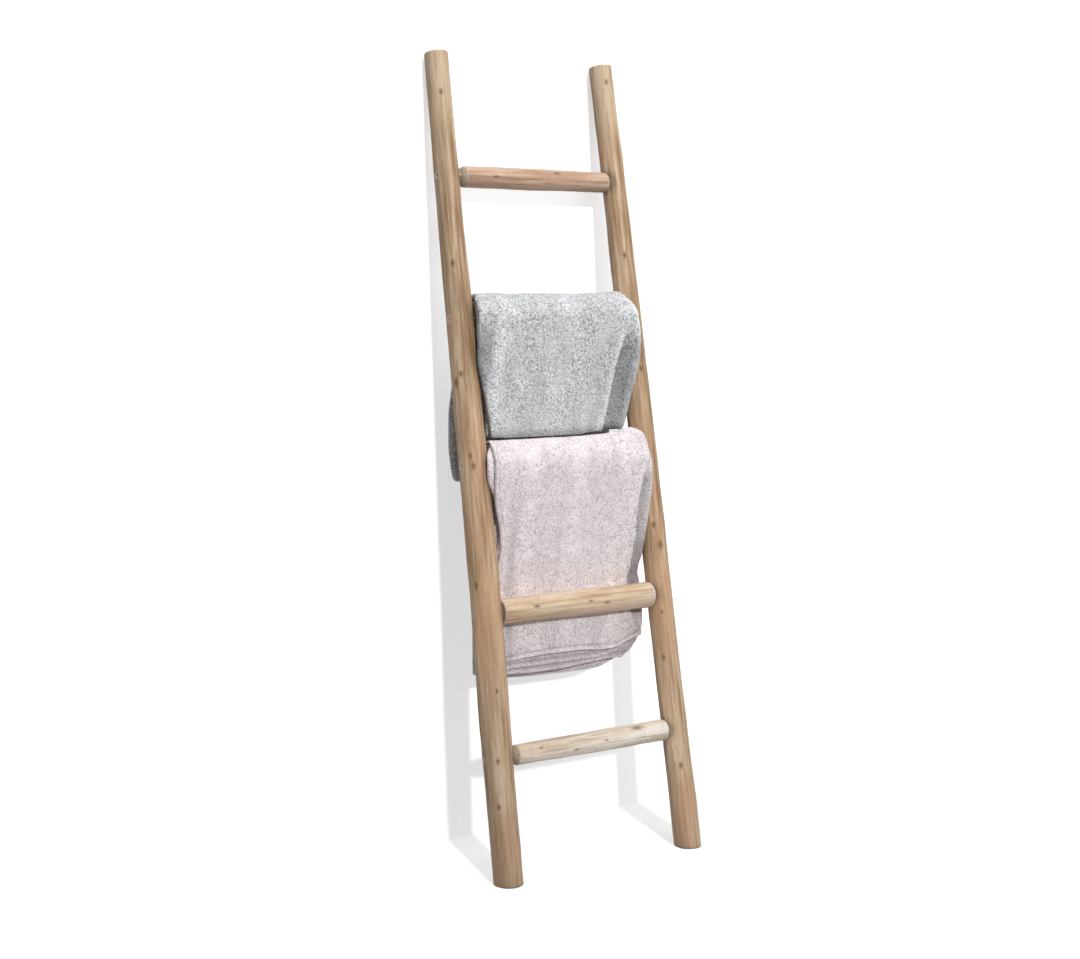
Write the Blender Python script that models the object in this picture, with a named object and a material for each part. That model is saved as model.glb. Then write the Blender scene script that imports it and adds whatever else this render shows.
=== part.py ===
"""Leaning blanket ladder with two folded plush throws.

Two peeled round poles and five round rungs, joined by shouldered round tenons
in blind mortises and drawn up by one countersunk screw through each pole into
each tenon. The ladder leans back, its feet cut level. A folded throw hangs
over the second rung and another over the third. Metres, +Z up, +Y towards the
wall, origin on the floor under the middle of the ladder.
"""

import math

import bmesh
import bpy
from mathutils import Matrix, Vector

# ---- driving dimensions (metres) ----
RAIL_LENGTH = 1.750  # along each pole
LEAN = math.radians(10.0)  # from vertical, top towards +Y
SPREAD_FOOT = 0.472  # between pole axes at the floor
SPREAD_TOP = 0.431  # between pole axes at the top
FOOT_Y = -0.1490  # pole axes at the floor, so that the outline is centred on the origin

# radius of each pole at a distance along it: natural poles, thickest low down
RAIL_RADII = {
    "left_rail": (
        (-0.03, 0.0308), (0.0, 0.0309), (0.20, 0.0319), (0.44, 0.0324), (0.69, 0.0314),
        (0.95, 0.0292), (1.18, 0.0280), (1.35, 0.0273), (1.55, 0.0267), (1.75, 0.0262),
    ),
    "right_rail": (
        (-0.03, 0.0308), (0.0, 0.0307), (0.16, 0.0298), (0.33, 0.0290), (0.60, 0.0286),
        (0.90, 0.0281), (1.18, 0.0273), (1.31, 0.0268), (1.55, 0.0261), (1.75, 0.0255),
    ),
}
TOP_CHAMFER = 0.0025
SIDES = 24

# rung: distance up the poles, radius at the left and right shoulder,
# and how far each shoulder stands off its pole
RUNGS = {
    "rung_1": (1.485, 0.0222, 0.0224, 0.0090, 0.0012),
    "rung_2": (1.180, 0.0238, 0.0240, 0.0045, 0.0040),
    "rung_3": (0.870, 0.0240, 0.0238, 0.0045, 0.0040),
    "rung_4": (0.560, 0.0281, 0.0287, 0.0012, 0.0030),
    "rung_5": (0.260, 0.0218, 0.0230, 0.0090, 0.0020),
}
END_BEVEL = 0.0012
TENON_RADIUS = 0.0130
MORTISE_RADIUS = 0.0133
TENON_PAST_AXIS = -0.0020  # the tenon stops this side of the pole's axis
MORTISE_GAP = 0.0005

SCREW_SHANK = 0.0022
SCREW_HOLE = 0.0027
SCREW_HEAD = 0.0045
SCREW_HEAD_HOLE = 0.0049
SCREW_LENGTH = 0.058
SCREW_HEAD_CONE = 0.0030
SCREW_SINK = 0.0018  # head below the pole's outer face
SCREW_SIDES = 12
PILOT_SPARE = 0.002

# throws: half widths left and right, stack thickness, clearance round the rung,
# front drop, back drop, and how far the front panel is pushed back
# by the rung below it, between the two depths
GREY = dict(rung="rung_2", left=0.1885, right=0.1895, thick=0.0300, front=0.2490, back=0.3500,
            push=0.0, push_from=0.03, push_to=0.24)
PINK = dict(rung="rung_3", left=0.1905, right=0.1920, thick=0.0270, front=0.4500, back=0.4750,
            push=0.0275, push_from=0.02, push_to=0.272)
RUNG_CLEARANCE = 0.0005

COLOURS = {
    "pole": (0.55, 0.38, 0.23),
    "rung_brown": (0.52, 0.34, 0.22),
    "rung_pale": (0.64, 0.48, 0.31),
    "rung_grey": (0.60, 0.50, 0.40),
    "steel": (0.55, 0.54, 0.52),
    "grey_plush": (0.42, 0.43, 0.44),
    "pink_plush": (0.62, 0.52, 0.53),
}

# The ladder's own frame: local Z runs up the ladder, local Y out of its back.
LADDER = Matrix.Translation((0.0, FOOT_Y, 0.0)) @ Matrix.Rotation(-LEAN, 4, "X")


def clear_scene():
    for obj in list(bpy.data.objects):
        bpy.data.objects.remove(obj, do_unlink=True)


def material(name, colour, roughness, metallic=0.0):
    mat = bpy.data.materials.new(name)
    mat.use_nodes = True
    shader = mat.node_tree.nodes["Principled BSDF"]
    shader.inputs["Base Color"].default_value = (*colour, 1.0)
    shader.inputs["Roughness"].default_value = roughness
    shader.inputs["Metallic"].default_value = metallic
    mat.diffuse_color = (*colour, 1.0)
    return mat


def add_object(name, mesh, mat, parent=None, matrix=None, angle=40.0):
    if mat:
        mesh.materials.append(mat)
    mesh.shade_smooth()
    mesh.set_sharp_from_angle(angle=math.radians(angle))
    obj = bpy.data.objects.new(name, mesh)
    bpy.context.scene.collection.objects.link(obj)
    if parent:
        obj.parent = parent
    if matrix:
        obj.matrix_local = matrix
    return obj


def lathe(name, profile, axis, sides):
    """A closed solid turned about local X or Z from (distance along, radius) points.

    Both end points lie on the axis. Points are given in the order that the
    outline is walked from the low end to the high end.
    """
    bm = bmesh.new()
    rings = []
    for along, radius in profile:
        if radius <= 1e-9:
            rings.append([bm.verts.new(place(axis, along, 0.0, 0.0))])
            continue
        ring = []
        for k in range(sides):
            a = 2 * math.pi * (k + 0.5) / sides
            ring.append(bm.verts.new(place(axis, along, radius * math.cos(a), radius * math.sin(a))))
        rings.append(ring)
    for low, high in zip(rings, rings[1:]):
        if len(low) == 1 and len(high) == 1:
            continue
        for k in range(sides):
            n = (k + 1) % sides
            if len(low) == 1:
                bm.faces.new((low[0], high[n], high[k]))
            elif len(high) == 1:
                bm.faces.new((low[k], low[n], high[0]))
            else:
                bm.faces.new((low[k], low[n], high[n], high[k]))
    bmesh.ops.recalc_face_normals(bm, faces=bm.faces)
    mesh = bpy.data.meshes.new(name)
    bm.to_mesh(mesh)
    bm.free()
    return mesh


def place(axis, along, u, v):
    return Vector((along, u, v)) if axis == "X" else Vector((u, v, along))


def radius_at(name, distance):
    table = RAIL_RADII[name]
    for (s0, r0), (s1, r1) in zip(table, table[1:]):
        if distance <= s1:
            return r0 + (r1 - r0) * (distance - s0) / (s1 - s0)
    return table[-1][1]


def half_spread(distance):
    return 0.5 * (SPREAD_FOOT + (SPREAD_TOP - SPREAD_FOOT) * distance / RAIL_LENGTH)


def rail_matrix(side):
    """A pole's own frame in the ladder's: origin on its axis at the floor, Z along it."""
    splay = math.atan2(0.5 * (SPREAD_FOOT - SPREAD_TOP), RAIL_LENGTH)
    return Matrix.Translation((side * half_spread(0.0), 0.0, 0.0)) @ Matrix.Rotation(-side * splay, 4, "Y")


def make_rail(name, side, mat, ladder):
    frame = rail_matrix(side)
    table = RAIL_RADII[name]
    profile = [(table[0][0], 0.0)] + list(table[:-1])
    top = table[-1][1]
    profile += [(RAIL_LENGTH - TOP_CHAMFER, top), (RAIL_LENGTH, top - TOP_CHAMFER), (RAIL_LENGTH, 0.0)]
    mesh = lathe(name, profile, "Z", SIDES)
    # the foot is cut level with the floor
    to_world = LADDER @ frame
    inverse = to_world.inverted()
    point = inverse @ Vector((0.0, 0.0, 0.0))
    normal = (to_world.to_3x3().transposed() @ Vector((0.0, 0.0, 1.0))).normalized()
    bm = bmesh.new()
    bm.from_mesh(mesh)
    cut = bmesh.ops.bisect_plane(
        bm, geom=bm.verts[:] + bm.edges[:] + bm.faces[:], plane_co=point, plane_no=normal, clear_inner=True
    )
    rim = [e for e in cut["geom_cut"] if isinstance(e, bmesh.types.BMEdge)]
    bmesh.ops.contextual_create(bm, geom=rim)
    bmesh.ops.recalc_face_normals(bm, faces=bm.faces)
    bm.to_mesh(mesh)
    bm.free()
    return add_object(name, mesh, mat, ladder, frame)


def socket_profile(side, rail, distance):
    """Outline of one mortise with its screw hole, from inside the ladder outwards, as distance from the pole's axis."""
    outer = radius_at(rail, distance)
    mortise_end = TENON_PAST_AXIS + MORTISE_GAP
    head_top = outer - SCREW_SINK
    head_low = head_top - SCREW_HEAD_CONE
    gap = SCREW_HEAD_HOLE - SCREW_HEAD
    return [
        (-outer - 0.025, 0.0),
        (-outer - 0.025, MORTISE_RADIUS),
        (mortise_end, MORTISE_RADIUS),
        (mortise_end, SCREW_HOLE),
        (head_low - gap, SCREW_HOLE),
        (head_top - gap, SCREW_HEAD_HOLE),
        (outer + 0.010, SCREW_HEAD_HOLE),
        (outer + 0.010, 0.0),
    ]


def cut_sockets(rail_obj, rail, side, ladder):
    for rung, (distance, *_rest) in RUNGS.items():
        axis_x = side * half_spread(distance)
        profile = [(side * (p + abs(axis_x)), r) for p, r in socket_profile(side, rail, distance)]
        if side < 0:
            profile.reverse()
        mesh = lathe(f"cut_{rail}_{rung}", profile, "X", SIDES)
        cutter = add_object(f"cut_{rail}_{rung}", mesh, None, ladder, Matrix.Translation((0.0, 0.0, distance)))
        cutter.hide_render = True
        cutter.display_type = "WIRE"
        boolean = rail_obj.modifiers.new(f"socket_{rung}", "BOOLEAN")
        boolean.operation = "DIFFERENCE"
        boolean.solver = "EXACT"
        boolean.object = cutter


def make_rung(name, mat, ladder):
    """A turned rung: pilot hole, tenon, shoulder, barrel, shoulder, tenon, pilot hole."""
    distance, r_left, r_right, gap_left, gap_right = RUNGS[name]
    ends = []
    for side, rail, radius, gap in ((-1, "left_rail", r_left, gap_left), (1, "right_rail", r_right, gap_right)):
        axis_x = half_spread(distance)
        outer = radius_at(rail, distance)
        shoulder = axis_x - outer - gap
        tip = axis_x + TENON_PAST_AXIS
        pilot = axis_x + outer - SCREW_SINK - SCREW_LENGTH - PILOT_SPARE
        ends.append(
            [
                (side * pilot, 0.0),
                (side * pilot, SCREW_HOLE),
                (side * (tip - 0.0005), SCREW_HOLE),
                (side * tip, SCREW_HOLE + 0.0005),
                (side * tip, TENON_RADIUS - 0.0010),
                (side * (tip - 0.0010), TENON_RADIUS),
                (side * shoulder, TENON_RADIUS),
                (side * shoulder, radius - END_BEVEL),
                (side * (shoulder - END_BEVEL), radius),
            ]
        )
    left, right = ends
    profile = left + right[::-1]
    return add_object(name, lathe(name, profile, "X", SIDES), mat, ladder, Matrix.Translation((0.0, 0.0, distance)))


def make_screw(name, rung, rail, side, mat, ladder):
    distance = RUNGS[rung][0]
    outer = half_spread(distance) + radius_at(rail, distance) - SCREW_SINK
    tip = outer - SCREW_LENGTH
    profile = [
        (tip, 0.0),
        (tip + 0.006, SCREW_SHANK),
        (outer - SCREW_HEAD_CONE, SCREW_SHANK),
        (outer - 0.0004, SCREW_HEAD),
        (outer, SCREW_HEAD),
        (outer, 0.0020),
        (outer - 0.0018, 0.0),
    ]
    profile = [(side * p, r) for p, r in profile]
    mesh = lathe(name, profile, "X", SCREW_SIDES)
    return add_object(name, mesh, mat, ladder, Matrix.Translation((0.0, 0.0, distance)))


def rung_centre(rung):
    return LADDER @ Vector((0.0, 0.0, RUNGS[rung][0]))


def throw_path(spec):
    """Middle line of the folded stack in the Y-Z plane about the rung, front hem to back hem, with its normals."""
    radius = max(RUNGS[spec["rung"]][1:3]) + RUNG_CLEARANCE + 0.5 * spec["thick"]
    points = []

    def front_y(depth):
        t = min(1.0, max(0.0, (depth - spec["push_from"]) / (spec["push_to"] - spec["push_from"])))
        return -radius + spec["push"] * t

    steps = 14
    for k in range(steps):
        depth = spec["front"] * (1 - k / steps)
        points.append((front_y(depth), -depth))
    arc = 14
    for k in range(arc + 1):
        a = math.pi * (1 - k / arc)
        points.append((radius * math.cos(a), radius * math.sin(a)))
    for k in range(1, steps + 1):
        points.append((radius, -spec["back"] * k / steps))
    return points


def make_throw(name, spec, mat):
    """A folded stack hung over a rung, as one closed slab with rounded long edges and hems."""
    centre = rung_centre(spec["rung"])
    path = [Vector((y, z)) for y, z in throw_path(spec)]
    half = 0.5 * spec["thick"]
    soft = 0.008  # rounding of the long edges
    # section across the stack: (x, height above the middle line)
    left, right = -spec["left"], spec["right"]
    section = [
        (left, -half + soft), (left + 0.3 * soft, -half + 0.3 * soft), (left + soft, -half),
        (right - soft, -half), (right - 0.3 * soft, -half + 0.3 * soft), (right, -half + soft),
        (right, half - soft), (right - 0.3 * soft, half - 0.3 * soft), (right - soft, half),
        (0.5 * (left + right), half),
        (left + soft, half), (left + 0.3 * soft, half - 0.3 * soft), (left, half - soft),
    ]
    bm = bmesh.new()
    rings = []
    for i, p in enumerate(path):
        before, after = path[max(i - 1, 0)], path[min(i + 1, len(path) - 1)]
        along = (after - before).normalized()
        normal = Vector((-along.y, along.x))  # to the outside of the bend
        ring = []
        for x, h in section:
            q = p + normal * h
            ring.append(bm.verts.new((x, q.x, q.y)))
        rings.append(ring)
    count = len(section)
    for low, high in zip(rings, rings[1:]):
        for k in range(count):
            n = (k + 1) % count
            bm.faces.new((low[k], low[n], high[n], high[k]))
    bm.faces.new(rings[0][::-1])
    bm.faces.new(rings[-1])
    bmesh.ops.recalc_face_normals(bm, faces=bm.faces)
    mesh = bpy.data.meshes.new(name)
    bm.to_mesh(mesh)
    bm.free()
    obj = add_object(name, mesh, mat, None, Matrix.Translation(centre), angle=60.0)
    bevel = obj.modifiers.new("hem", "BEVEL")
    bevel.width = 0.004
    bevel.segments = 1
    bevel.limit_method = "ANGLE"
    bevel.angle_limit = math.radians(60)
    return obj


def main():
    clear_scene()
    scene = bpy.context.scene
    scene.unit_settings.system = "METRIC"
    pole = material("pole_wood", COLOURS["pole"], 0.62)
    woods = {
        "rung_1": material("rung_wood_brown", COLOURS["rung_brown"], 0.50),
        "rung_2": pole,
        "rung_3": pole,
        "rung_4": material("rung_wood_pale", COLOURS["rung_pale"], 0.60),
        "rung_5": material("rung_wood_grey", COLOURS["rung_grey"], 0.65),
    }
    steel = material("screw_steel", COLOURS["steel"], 0.35, 1.0)
    grey = material("grey_plush", COLOURS["grey_plush"], 0.95)
    pink = material("pink_plush", COLOURS["pink_plush"], 0.95)

    ladder = bpy.data.objects.new("ladder_frame", None)
    scene.collection.objects.link(ladder)
    ladder.matrix_world = LADDER

    for rail, side in (("left_rail", -1), ("right_rail", 1)):
        obj = make_rail(rail, side, pole, ladder)
        cut_sockets(obj, rail, side, ladder)
    for number, rung in enumerate(RUNGS, 1):
        make_rung(rung, woods[rung], ladder)
        make_screw(f"screw_left_{number}", rung, "left_rail", -1, steel, ladder)
        make_screw(f"screw_right_{number}", rung, "right_rail", 1, steel, ladder)
    make_throw("grey_throw", GREY, grey)
    make_throw("pink_throw", PINK, pink)
    bpy.context.view_layer.update()


main()
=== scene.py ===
"""Looks for the leaning blanket ladder with two folded plush throws.

Dense natural poles and rungs with procedural wood, detailed screws, and two
folded plush throws, each one continuous folded sheet with turned hems.
"""

import math

import bmesh
import bpy
import numpy as np
from mathutils import Matrix, Vector


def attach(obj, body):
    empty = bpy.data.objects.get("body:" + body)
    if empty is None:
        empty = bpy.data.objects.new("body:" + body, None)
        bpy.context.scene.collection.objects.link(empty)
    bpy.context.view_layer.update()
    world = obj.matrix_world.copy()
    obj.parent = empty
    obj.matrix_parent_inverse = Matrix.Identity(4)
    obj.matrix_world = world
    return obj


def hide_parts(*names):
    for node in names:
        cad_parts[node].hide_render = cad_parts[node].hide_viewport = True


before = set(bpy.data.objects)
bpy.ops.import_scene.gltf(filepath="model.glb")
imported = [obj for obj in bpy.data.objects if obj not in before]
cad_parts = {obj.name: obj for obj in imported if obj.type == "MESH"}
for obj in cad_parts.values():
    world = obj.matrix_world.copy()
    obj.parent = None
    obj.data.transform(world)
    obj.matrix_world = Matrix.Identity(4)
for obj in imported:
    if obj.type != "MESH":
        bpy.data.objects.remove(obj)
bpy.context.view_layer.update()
SCENE = bpy.context.scene

# ---------------------------------------------------------------- the frame's own dimensions
RAIL_LENGTH = 1.750
LEAN = math.radians(10.0)
SPREAD_FOOT, SPREAD_TOP, FOOT_Y = 0.472, 0.431, -0.1490
RAIL_RADII = {
    "left_rail": (
        (-0.03, 0.0308), (0.0, 0.0309), (0.20, 0.0319), (0.44, 0.0324), (0.69, 0.0314),
        (0.95, 0.0292), (1.18, 0.0280), (1.35, 0.0273), (1.55, 0.0267), (1.75, 0.0262),
    ),
    "right_rail": (
        (-0.03, 0.0308), (0.0, 0.0307), (0.16, 0.0298), (0.33, 0.0290), (0.60, 0.0286),
        (0.90, 0.0281), (1.18, 0.0273), (1.31, 0.0268), (1.55, 0.0261), (1.75, 0.0255),
    ),
}
RUNGS = {
    "rung_1": (1.485, 0.0222, 0.0224, 0.0090, 0.0012),
    "rung_2": (1.180, 0.0238, 0.0240, 0.0045, 0.0040),
    "rung_3": (0.870, 0.0240, 0.0238, 0.0045, 0.0040),
    "rung_4": (0.560, 0.0281, 0.0287, 0.0012, 0.0030),
    "rung_5": (0.260, 0.0218, 0.0230, 0.0090, 0.0020),
}
TENON_RADIUS, MORTISE_RADIUS = 0.0130, 0.0133
SCREW_HEAD, SCREW_SHANK, SCREW_LENGTH, SCREW_SINK = 0.0045, 0.0022, 0.058, 0.0018
LADDER = Matrix.Translation((0.0, FOOT_Y, 0.0)) @ Matrix.Rotation(-LEAN, 4, "X")


def half_spread(s):
    return 0.5 * (SPREAD_FOOT + (SPREAD_TOP - SPREAD_FOOT) * s / RAIL_LENGTH)


def rail_matrix(side):
    splay = math.atan2(0.5 * (SPREAD_FOOT - SPREAD_TOP), RAIL_LENGTH)
    return Matrix.Translation((side * half_spread(0.0), 0.0, 0.0)) @ Matrix.Rotation(-side * splay, 4, "Y")


def smooth_table(table, sigma=0.05, lo=-0.1, hi=1.9, step=0.005):
    """A table of (position, value) read as a smooth curve."""
    table = sorted(table)
    xs = np.arange(lo, hi, step)
    ys = np.interp(xs, [t[0] for t in table], [t[1] for t in table])
    half = int(4 * sigma / step)
    kernel = np.exp(-0.5 * (np.arange(-half, half + 1) * step / sigma) ** 2)
    kernel /= kernel.sum()
    padded = np.pad(ys, half, mode="edge")
    ys = np.convolve(padded, kernel, mode="valid")
    return lambda x: np.interp(x, xs, ys)


def sstep(x, a, b):
    t = np.clip((x - a) / (b - a), 0.0, 1.0)
    return t * t * (3 - 2 * t)


def waves(coords, seed, shortest, longest, count=18):
    """Smooth noise, about -1 to 1, as a sum of plane waves with fixed random directions."""
    rng = np.random.default_rng(seed)
    out = np.zeros(coords.shape[:-1])
    for _ in range(count):
        d = rng.normal(size=coords.shape[-1])
        d /= np.linalg.norm(d)
        length = shortest * (longest / shortest) ** rng.random()
        out += np.sin(coords @ (d * 2 * math.pi / length) + rng.random() * 2 * math.pi)
    return out / math.sqrt(count / 2.0) * 0.6


# ---------------------------------------------------------------- mesh helpers
def build_mesh(name, points, faces):
    """A mesh from an array of points and a list of quad or triangle arrays."""
    mesh = bpy.data.meshes.new(name)
    points = np.ascontiguousarray(points, dtype=np.float32)
    mesh.vertices.add(len(points))
    mesh.vertices.foreach_set("co", points.ravel())
    loops = np.concatenate([f.ravel() for f in faces]).astype(np.int32)
    sizes = np.concatenate([np.full(len(f), f.shape[1]) for f in faces])
    mesh.loops.add(len(loops))
    mesh.loops.foreach_set("vertex_index", loops)
    mesh.polygons.add(len(sizes))
    mesh.polygons.foreach_set("loop_start", np.concatenate([[0], np.cumsum(sizes)[:-1]]).astype(np.int32))
    mesh.update(calc_edges=True)
    mesh.validate()
    mesh.shade_smooth()
    return mesh


def add_float(mesh, name, values):
    att = mesh.attributes.get(name) or mesh.attributes.new(name, "FLOAT", "POINT")
    att.data.foreach_set("value", np.ascontiguousarray(values, dtype=np.float32))


def add_vector(mesh, name, values):
    att = mesh.attributes.get(name) or mesh.attributes.new(name, "FLOAT_VECTOR", "POINT")
    att.data.foreach_set("vector", np.ascontiguousarray(values, dtype=np.float32).ravel())


def coords_of(mesh):
    out = np.empty(len(mesh.vertices) * 3, np.float32)
    mesh.vertices.foreach_get("co", out)
    return out.reshape(-1, 3).astype(np.float64)


def link(name, mesh, matrix=None):
    obj = bpy.data.objects.new(name, mesh)
    SCENE.collection.objects.link(obj)
    if matrix is not None:
        obj.matrix_world = matrix
    return obj


def polar_solid(name, rows):
    """A closed solid from rings of points (rows x sides x 3) whose first and last rows shrink to a point."""
    count, sides = rows.shape[0], rows.shape[1]
    body = rows[1:-1].reshape(-1, 3)
    points = np.vstack([rows[0].mean(axis=0)[None], body, rows[-1].mean(axis=0)[None]])
    k = np.arange(sides)
    n = (k + 1) % sides
    r = np.arange(count - 3)[:, None] * sides + 1
    quads = np.stack([r + k, r + n, r + sides + n, r + sides + k], axis=-1).reshape(-1, 4)
    first = np.stack([np.zeros_like(k), 1 + n, 1 + k], axis=-1)
    last_ring = 1 + (count - 3) * sides
    last = np.stack([np.full_like(k, len(points) - 1), last_ring + k, last_ring + n], axis=-1)
    return build_mesh(name, points, [quads, first, last])


def fix_normals(mesh):
    bm = bmesh.new()
    bm.from_mesh(mesh)
    bmesh.ops.recalc_face_normals(bm, faces=bm.faces)
    bm.to_mesh(mesh)
    bm.free()


def apply_modifiers(obj):
    graph = bpy.context.evaluated_depsgraph_get()
    fresh = bpy.data.meshes.new_from_object(obj.evaluated_get(graph), preserve_all_data_layers=True, depsgraph=graph)
    obj.modifiers.clear()
    old = obj.data
    obj.data = fresh
    fresh.name = old.name
    bpy.data.meshes.remove(old)


def cut(obj, cutters):
    for c in cutters:
        m = obj.modifiers.new("cut", "BOOLEAN")
        m.operation, m.solver, m.object = "DIFFERENCE", "MANIFOLD", c
    bpy.context.view_layer.update()
    apply_modifiers(obj)
    for c in cutters:
        bpy.data.objects.remove(c, do_unlink=True)


def x_lathe(name, profile, sides):
    """A closed solid turned about X from (x, radius) points, both ends on the axis."""
    a = 2 * math.pi * (np.arange(sides) + 0.5) / sides
    rows = np.array([[(x, r * math.cos(t), r * math.sin(t)) for t in a] for x, r in profile])
    mesh = polar_solid(name, rows)
    fix_normals(mesh)
    return mesh


# ---------------------------------------------------------------- node helpers
class Nodes:
    def __init__(self, name):
        self.mat = bpy.data.materials.new(name)
        self.mat.use_nodes = True
        self.tree = self.mat.node_tree
        self.shader = self.tree.nodes["Principled BSDF"]

    def put(self, socket, value):
        if value is None:
            return
        if isinstance(value, bpy.types.NodeSocket):
            self.tree.links.new(value, socket)
        else:
            socket.default_value = value

    def node(self, kind, out=0, ins=(), **attrs):
        n = self.tree.nodes.new(kind)
        for k, v in attrs.items():
            setattr(n, k, v)
        for k, v in dict(ins).items():
            self.put(n.inputs[k], v)
        return n.outputs[out]

    def attribute(self, name, out="Fac"):
        return self.node("ShaderNodeAttribute", out, attribute_name=name)

    def noise(self, vector, scale=1.0, detail=3.0, rough=0.55, distortion=0.0):
        return self.node("ShaderNodeTexNoise", 0, {"Vector": vector, "Scale": scale, "Detail": detail,
                                                   "Roughness": rough, "Distortion": distortion})

    def scaled(self, vector, by):
        return self.node("ShaderNodeVectorMath", 0, {0: vector, 1: by}, operation="MULTIPLY")

    def math(self, op, a, b=None, c=None, clamp=False):
        return self.node("ShaderNodeMath", 0, {k: v for k, v in enumerate((a, b, c)) if v is not None},
                         operation=op, use_clamp=clamp)

    def ramp(self, fac, stops):
        n = self.tree.nodes.new("ShaderNodeValToRGB")
        e = n.color_ramp.elements
        while len(e) < len(stops):
            e.new(0.5)
        for el, (pos, col) in zip(e, stops):
            el.position = pos
            el.color = (*col, 1.0) if len(col) == 3 else col
        self.put(n.inputs[0], fac)
        return n.outputs[0]

    def mix(self, fac, a, b, blend="MIX"):
        n = self.tree.nodes.new("ShaderNodeMix")
        n.data_type = "RGBA"
        n.blend_type = blend
        self.put(n.inputs[0], fac)
        self.put(n.inputs[6], a)
        self.put(n.inputs[7], b)
        return n.outputs[2]

    def map(self, value, a, b, c=0.0, d=1.0, smooth=False):
        return self.node("ShaderNodeMapRange", 0, {0: value, 1: a, 2: b, 3: c, 4: d},
                         interpolation_type="SMOOTHSTEP" if smooth else "LINEAR")

    def bump(self, height, strength, distance, normal=None):
        return self.node("ShaderNodeBump", 0, {"Height": height, "Strength": strength, "Distance": distance,
                                               "Normal": normal})


def rgb(r, g, b):
    """Display colour to linear."""
    f = lambda c: c / 255 / 12.92 if c / 255 <= 0.04045 else ((c / 255 + 0.055) / 1.055) ** 2.4
    return (f(r), f(g), f(b))


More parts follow.
